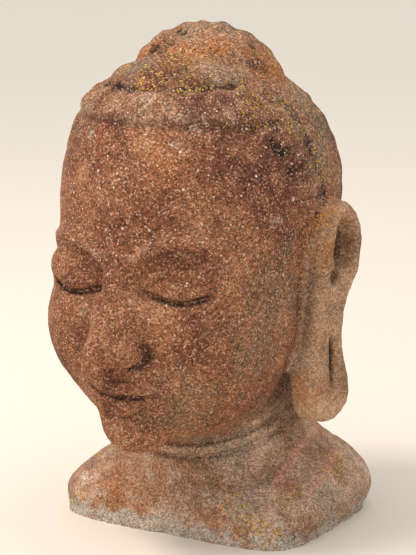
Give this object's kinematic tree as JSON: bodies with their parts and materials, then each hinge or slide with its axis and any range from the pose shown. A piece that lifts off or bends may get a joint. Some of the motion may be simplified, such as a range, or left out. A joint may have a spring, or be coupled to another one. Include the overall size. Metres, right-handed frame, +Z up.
{
  "type": "buddha head",
  "caption": "Carved stone Buddha head with curled hair, topknot, long ear lobes, neck and cut-off shoulders, made to stand on its flat underside as a garden ornament.",
  "frame": {"origin": "middle of the flat underside, where the ornament stands on the ground", "axes": "+Z up along the neck to the topknot, the face looks along -Y, +X towards the statue's left ear"},
  "size_m": [0.1747, 0.1851, 0.2713],
  "materials": {
    "stone": "weathered, rough"
  },
  "bodies": {
    "root": {"buddha_head": "stone"}
  },
  "joints": []
}
